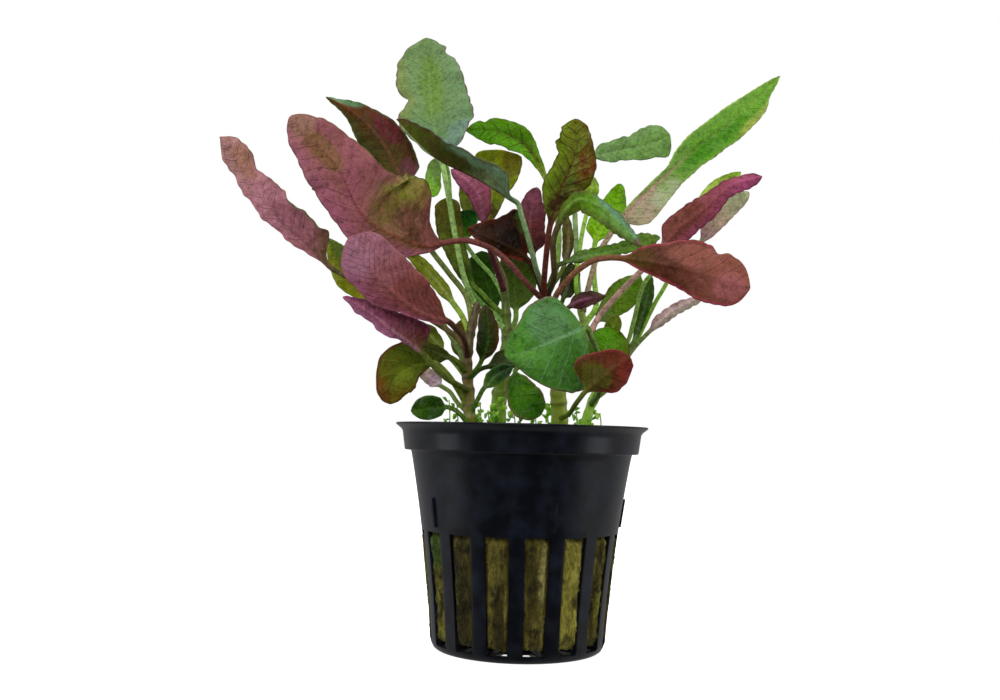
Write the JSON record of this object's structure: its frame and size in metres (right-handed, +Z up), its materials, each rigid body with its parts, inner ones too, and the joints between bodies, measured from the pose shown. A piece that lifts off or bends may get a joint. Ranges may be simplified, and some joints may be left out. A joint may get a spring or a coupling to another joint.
{
  "type": "potted aquarium plant",
  "caption": "Young cardinal flower for an aquarium: green, olive and purple spoon-shaped leaves on short stems, rooted in rock wool in a slotted black net pot.",
  "frame": {"origin": "middle of the pot's flat underside, on the pot's axis", "axes": "+Z up along the pot's axis; the plant's front, as pictured, faces -Y; +X to the right seen from the front"},
  "size_m": [0.1277, 0.0609, 0.1396],
  "materials": {
    "black_plastic": "moulded, half gloss",
    "rock_wool": "matt, fibrous",
    "stem_brown": "smooth, fresh",
    "stem_green": "smooth, fresh",
    "leaf_mauve": "satin, wet",
    "leaf_magenta": "satin, wet",
    "leaf_maroon": "satin, wet",
    "leaf_olive": "satin",
    "leaf_grey_green": "satin, with a bloom",
    "leaf_bright_green": "satin",
    "leaf_dark_green": "satin, wet"
  },
  "bodies": {
    "root": {"net_pot": "black_plastic", "wool_plug": "rock_wool", "stem_left": "stem_brown", "stem_middle": "stem_green", "stem_right": "stem_green", "stem_back": "stem_green", "leaf_far_left": "leaf_mauve", "leaf_left_large": "leaf_mauve", "leaf_left_round": "leaf_mauve", "leaf_mauve_low": "leaf_mauve", "leaf_left_folded": "leaf_magenta", "leaf_magenta_narrow": "leaf_magenta", "leaf_magenta_centre": "leaf_magenta", "leaf_purple_right": "leaf_magenta", "leaf_purple_small": "leaf_magenta", "leaf_maroon_folded": "leaf_maroon", "leaf_maroon_low": "leaf_maroon", "leaf_red_brown": "leaf_maroon", "leaf_big_right": "leaf_maroon", "leaf_low_olive": "leaf_olive", "leaf_yellow_olive": "leaf_olive", "leaf_upright_veined": "leaf_olive", "leaf_folded_right": "leaf_olive", "leaf_olive_small": "leaf_olive", "leaf_thin_right": "leaf_olive", "leaf_narrow_centre": "leaf_olive", "leaf_dark_right": "leaf_olive", "leaf_top": "leaf_grey_green", "leaf_grey_green": "leaf_grey_green", "leaf_front_round": "leaf_grey_green", "leaf_blue_low": "leaf_grey_green", "leaf_pale_right": "leaf_grey_green", "leaf_bright_veined": "leaf_bright_green", "leaf_bright_upper": "leaf_bright_green", "leaf_bright_small": "leaf_bright_green", "leaf_bright_round": "leaf_bright_green", "leaf_long_right": "leaf_bright_green", "leaf_sliver_right": "leaf_bright_green", "leaf_lime_left": "leaf_bright_green", "leaf_back_small": "leaf_bright_green", "leaf_green_right": "leaf_bright_green", "leaf_behind_left": "leaf_bright_green", "leaf_lime_low": "leaf_bright_green", "leaf_dark_folded": "leaf_dark_green", "leaf_oval_low": "leaf_dark_green", "leaf_long_dark": "leaf_dark_green", "leaf_thin_green": "leaf_dark_green", "leaf_dark_centre": "leaf_dark_green", "leaf_dark_left": "leaf_dark_green", "leaf_low_front": "leaf_dark_green", "leaf_dark_low": "leaf_dark_green", "leaf_back_centre_left": "leaf_dark_green", "leaf_back_centre_right": "leaf_dark_green", "leaf_back_dark": "leaf_dark_green", "leaf_green_heart": "leaf_dark_green", "leaf_shade_right": "leaf_dark_green"}
  },
  "joints": []
}
